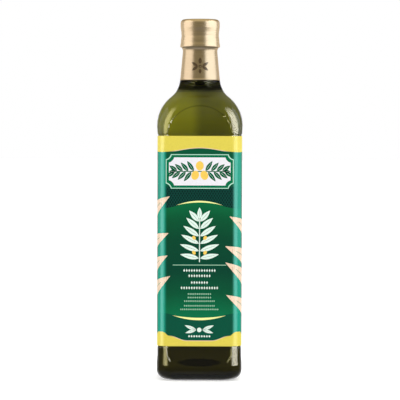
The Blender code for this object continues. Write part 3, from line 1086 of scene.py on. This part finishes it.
def cap_outline():
    """(radius, height) over the cap's top, down its side to its lip, and back up its bore."""
    outline = [(0.0, CAP_TOP), (8.0 * MM, CAP_TOP)]
    for step in range(13):
        angle = math.pi / 2 * step / 12
        edge = CAP_RADIUS - CAP_EDGE * (1 - math.sin(angle))
        outline.append((edge, CAP_TOP - CAP_EDGE * (1 - math.cos(angle))))
    outline += cap_skirt()[1:]
    for step in range(9):
        angle = math.radians(-60 * step / 8)
        out = LIP_REACH - LIP_RADIUS * (1 - math.cos(angle))
        outline.append((out, LIP_HEIGHT + LIP_RADIUS * math.sin(angle)))
    outline += [(CAP_BORE + 0.4 * MM, CAP_BOTTOM), (CAP_BORE, CAP_BOTTOM)]
    return outline + [(CAP_BORE, CAP_ROOF), (0.0, CAP_ROOF)]


def sleeve_outline():
    """Up the sleeve's outside, with its lower edge rolled, and back down its inside."""
    rings = [(238.0 * MM, SLEEVE_ROLL, 0.4 * MM), (262.0 * MM, -0.1 * MM, 0.4 * MM)]
    outside = []
    height = SLEEVE_BOTTOM[1]
    while height < SLEEVE_TOP[1] + TINY:
        if height < SLEEVE_WAIST[1]:
            share = (height - SLEEVE_BOTTOM[1]) / (SLEEVE_WAIST[1] - SLEEVE_BOTTOM[1])
            radius = slope_between(SLEEVE_BOTTOM[0] - SLEEVE_ROLL, SLEEVE_WAIST[0], share)
        else:
            share = (height - SLEEVE_WAIST[1]) / (SLEEVE_TOP[1] - SLEEVE_WAIST[1])
            radius = slope_between(SLEEVE_WAIST[0], SLEEVE_TOP[0], share**2)
        outside.append((radius + rolled(height, rings), height))
        height += (SLEEVE_TOP[1] - SLEEVE_BOTTOM[1]) / SLEEVE_STEPS
    inside = [(radius - SLEEVE_WALL, height) for radius, height in reversed(outside)]
    return outside + inside + [outside[0]]


def turn_on_lathe(name, outline):
    """The outline, drawn point by point in XZ, spun round the bottle's axis."""
    piece = start_mesh(name)
    bpy.ops.mesh.select_mode(type="VERT")
    radius, height = outline[0]
    bpy.ops.mesh.primitive_plane_add(size=0.001, location=(radius, 0, height))
    bpy.ops.mesh.merge(type="CENTER")
    for next_radius, next_height in outline[1:]:
        move = (next_radius - radius, 0, next_height - height)
        bpy.ops.mesh.extrude_region_move(TRANSFORM_OT_translate={"value": move})
        radius, height = next_radius, next_height
    bpy.ops.mesh.select_linked()
    bpy.ops.mesh.spin(steps=TURNED_SIDES, angle=2 * math.pi, center=(0, 0, 0), axis=(0, 0, 1))
    bpy.ops.mesh.select_all(action="SELECT")
    bpy.ops.mesh.remove_doubles(threshold=1e-6)
    finish_mesh(piece, angle=40)
    return piece


def gold_material(name, depth):
    """Satin gold lacquer on aluminium, with faint turning lines round it and patches of wear."""
    material = start_material(name)
    nodes = material.node_tree.nodes
    shader = main_shader(material)
    shader.inputs["Metallic"].default_value = 1.0
    shader.inputs["Specular Tint"].default_value = GOLD_EDGE
    place = own_place(material)
    flatten = nodes.new("ShaderNodeMapping")
    flatten.inputs["Scale"].default_value = (30.0, 30.0, 2600.0)
    feed(material, flatten.inputs["Vector"], place)
    lines = noise(material, flatten.outputs["Vector"], 1.0)
    deep, pale = [[share * depth for share in gold] + [1.0] for gold in (GOLD_DEEP, GOLD_PALE)]
    tone = printed(material, noise(material, place, 90.0), deep, pale)
    feed(material, shader.inputs["Base Color"], tone)
    gloss = nodes.new("ShaderNodeMapRange")
    gloss.inputs["To Min"].default_value = 0.24
    gloss.inputs["To Max"].default_value = 0.34
    feed(material, gloss.inputs["Value"], lines)
    feed(material, shader.inputs["Roughness"], gloss.outputs["Result"])
    raised(material, lines, 0.25, 0.01 * MM)
    return material


# The sleeve's gold is darker than the cap's: 0.88 of its brightness.
cap_gold = gold_material("gold_lacquer_on_cap", 1.0)
sleeve_gold = gold_material("gold_lacquer_on_sleeve", 0.88)
for name, outline, node, gold in (
    ("gold_screw_cap", cap_outline(), "screw_cap", cap_gold),
    ("gold_neck_sleeve", sleeve_outline(), "neck_sleeve", sleeve_gold),
):
    piece = turn_on_lathe(name, outline)
    piece.data.materials.append(gold)
    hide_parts(node)
    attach(piece, "root")

# A small plain sprig printed on the sleeve's front.
MARK_HEIGHT = 248.4 * MM
brown_ink = ink_material("brown_ink", (70, 54, 34))
mark_leaves = [
    (1.7 * MM, MARK_HEIGHT, 6.2 * MM, 2.2 * MM, 33),
    (1.7 * MM, MARK_HEIGHT, 6.0 * MM, 2.2 * MM, -33),
]
upright = [
    (0, MARK_HEIGHT + 1.9 * MM, 5.2 * MM, 2.6 * MM, 90),
    (0, MARK_HEIGHT - 1.9 * MM, 4.0 * MM, 2.2 * MM, -90),
]
mark = lay_out("sleeve_sprig_leaves", leaf, both_ways(mark_leaves) + upright)
berry = lay_out("sleeve_sprig_olive", olive, [(0, MARK_HEIGHT, 2.6 * MM, 2.6 * MM, 0)])
for piece in (mark, berry):
    for vertex in piece.data.vertices:
        share = (vertex.co.z - SLEEVE_BOTTOM[1]) / (SLEEVE_WAIST[1] - SLEEVE_BOTTOM[1])
        radius = slope_between(SLEEVE_BOTTOM[0] - SLEEVE_ROLL, SLEEVE_WAIST[0], share) + 2 * INK
        angle = vertex.co.x / radius
        vertex.co = (radius * math.sin(angle), -radius * math.cos(angle), vertex.co.z)
    make_film(piece, brown_ink)

for shape in (leaf, olive, lozenge):
    bpy.data.objects.remove(shape)


# Studio
# A white floor, tall softboxes at both sides, one overhead, and a surround that is white behind
# the bottle and dim in front of it, where the reflections in glass and metal come from. The
# shine lights are the same softboxes as glass and paper reflect them, and light nothing else.
FLOOR_GLOW = 0.45
SHINE_FRAMES = 4
FRONT_TINT = (1.0, 0.91, 0.62, 1.0)
OIL_GLOW = 0.25
CAMERA_PLACE = (0.00012, -1.84, 0.190)
CAMERA_AIM_HEIGHT = 0.142
CAMERA_ROLL = -0.18
CAMERA_LENS = 207.0

floor = start_mesh("studio_floor")
bpy.ops.mesh.primitive_grid_add(x_subdivisions=8, y_subdivisions=8, size=40)
finish_mesh(floor)
pale = start_material("pale_floor")
pale_shader = main_shader(pale)
pale_shader.inputs["Base Color"].default_value = (0.8, 0.8, 0.8, 1.0)
pale_shader.inputs["Roughness"].default_value = 0.6
pale_shader.inputs["Emission Color"].default_value = (1.0, 1.0, 1.0, 1.0)
pale_shader.inputs["Emission Strength"].default_value = FLOOR_GLOW
floor.data.materials.append(pale)
floor.visible_glossy = False
floor.visible_transmission = False

shining = {name: bpy.data.collections.new(name) for name in ("glass", "paper")}
for piece in list(bpy.context.scene.objects):
    if piece in (bottle, oil):
        shining["glass"].objects.link(piece)
    elif piece is not floor and not piece.name.startswith("gold_"):
        shining["paper"].objects.link(piece)


def softbox(name, place, turn, size, strength, colour, seen_by, only=None):
    """A rectangular area light. turn is its rotation in degrees and strength its radiance."""
    lamp = bpy.data.lights.new(name, "AREA")
    lamp.shape = "RECTANGLE"
    lamp.size, lamp.size_y = size
    lamp.energy = strength * math.pi * size[0] * size[1]
    lamp.color = colour
    light = bpy.data.objects.new(name, lamp)
    light.location = place
    light.rotation_euler = [math.radians(angle) for angle in turn]
    light.visible_camera = False
    light.visible_diffuse = "diffuse" in seen_by
    light.visible_glossy = "glossy" in seen_by
    light.visible_transmission = "through" in seen_by
    bpy.context.scene.collection.objects.link(light)
    if only is not None:
        light.light_linking.receiver_collection = only


def shine(name, foot, turn, size, strength, colour):
    """A softbox as one kind of piece reflects it: frames of light, one behind the other, on one foot."""
    for step in range(SHINE_FRAMES):
        share = 1 - 0.6 * step / SHINE_FRAMES
        back = 1 + 0.02 * step
        frame_size = (size[0] * share, size[1] * share)
        frame_place = (foot[0] * back, foot[1] * back, foot[2] + frame_size[1] / 2)
        only = shining[name.split("_")[1]]
        softbox(name, frame_place, turn, frame_size, strength / SHINE_FRAMES, colour, ("glossy",), only)


softbox("left_softbox", (-0.85, -0.19, 0.62), (90, 0, -90), (1.15, 1.2), 0.85, (1.0, 0.98, 0.96), ("diffuse",))
softbox("right_softbox", (0.85, -0.40, 0.62), (90, 0, 90), (1.6, 1.2), 1.1, (0.96, 0.98, 1.0), ("diffuse",))
softbox("overhead", (0.0, 0.1, 1.6), (0, 0, 0), (1.6, 1.6), 0.5, (1.0, 1.0, 1.0), ("diffuse",))
softbox("left_wall_shine", (-0.8, -0.19, 0.62), (90, 0, -90), (1.08, 1.15), 1.0, (0.98, 0.95, 1.0), ("glossy",))
softbox("right_wall_shine", (0.8, -0.40, 0.62), (90, 0, 90), (1.5, 1.15), 1.4, (0.82, 0.88, 1.0), ("glossy",))
shine("left_paper_shine", (-0.8, -0.25, -0.3), (90, 0, -72), (0.70, 1.6), 9.0, (0.82, 0.95, 1.1))
shine("right_paper_shine", (0.72, -0.43, -0.3), (90, 0, 59), (0.70, 1.6), 9.0, (0.82, 0.95, 1.1))
shine("left_glass_shine", (-0.70, -0.89, -0.1), (90, 0, -38), (1.0, 2.6), 8.5, (1.0, 0.90, 0.42))
shine("right_glass_shine", (0.93, -0.65, -0.1), (90, 0, 55), (1.5, 2.6), 12.5, (1.0, 0.95, 0.74))

world = bpy.data.worlds.new("studio_surround")
bpy.context.scene.world = world
world.use_nodes = True
direction = world.node_tree.nodes.new("ShaderNodeTexCoord").outputs["Generated"]
sideways, backwards, upwards = split_up(world, direction)
path = world.node_tree.nodes.new("ShaderNodeLightPath")

# Reflected: dim and warm in front, lighter above and at the sides of the floor, white behind.
aside = faded(world, calculated(world, "ABSOLUTE", sideways), 0.35, 0.8)
under = printed(world, aside, (0.09, 0.09, 0.09, 1.0), (0.5, 0.5, 0.5, 1.0))
front = printed(world, faded(world, upwards, -0.45, -0.05), under, (0.20, 0.20, 0.20, 1.0))
front = printed(world, faded(world, upwards, 0.15, 0.9), front, (0.55, 0.55, 0.55, 1.0))
front = printed(world, 1.0, front, FRONT_TINT, "MULTIPLY")
front = printed(world, faded(world, upwards, -0.2, -0.5), front, (0.32, 0.32, 0.34, 1.0))
level = calculated(world, "SUBTRACT", 1.0, faded(world, upwards, 0.1, 0.5))
behind = calculated(world, "MULTIPLY", faded(world, backwards, 0.3, 0.9), level)
reflected = printed(world, behind, front, (1.0, 1.0, 1.0, 1.0))

# Seen through the glass: white behind. Scattered in the oil: a glow from the left and from above.
left_glow = faded(world, calculated(world, "MULTIPLY", sideways, -1.0), -0.4, 0.9)
sky_glow = faded(world, upwards, -0.1, 0.6)
glow = calculated(world, "MULTIPLY", calculated(world, "ADD", left_glow, sky_glow), OIL_GLOW)
glow = calculated(world, "MAXIMUM", glow, 0.04)
above_floor = faded(world, upwards, -0.25, 0.1)
seen_behind = calculated(world, "MULTIPLY", faded(world, backwards, 0.2, 0.95), above_floor)
seen_behind = calculated(world, "MULTIPLY", calculated(world, "MAXIMUM", seen_behind, 0.05), 0.95)
scattered = calculated(world, "GREATER_THAN", path.outputs["Diffuse Depth"], 0.5)
through = printed(world, scattered, seen_behind, glow)

# Each kind of ray meets its own surround, and the camera sees plain white.
background = printed(world, path.outputs["Is Transmission Ray"], reflected, through)
background = printed(world, path.outputs["Is Diffuse Ray"], background, (0.95, 0.95, 0.95, 1.0))
background = printed(world, path.outputs["Is Camera Ray"], background, (1.0, 1.0, 1.0, 1.0))
feed(world, world.node_tree.nodes["Background"].inputs["Color"], background)

camera_data = bpy.data.cameras.new("camera")
camera_data.sensor_width = 36.0
camera_data.lens = CAMERA_LENS
camera = bpy.data.objects.new("camera", camera_data)
camera.location = CAMERA_PLACE
dip = math.atan2(CAMERA_PLACE[2] - CAMERA_AIM_HEIGHT, -CAMERA_PLACE[1])
camera.rotation_euler = (math.radians(90) - dip, math.radians(CAMERA_ROLL), 0)
bpy.context.scene.collection.objects.link(camera)
bpy.context.scene.camera = camera
bpy.context.scene.view_settings.view_transform = "Standard"
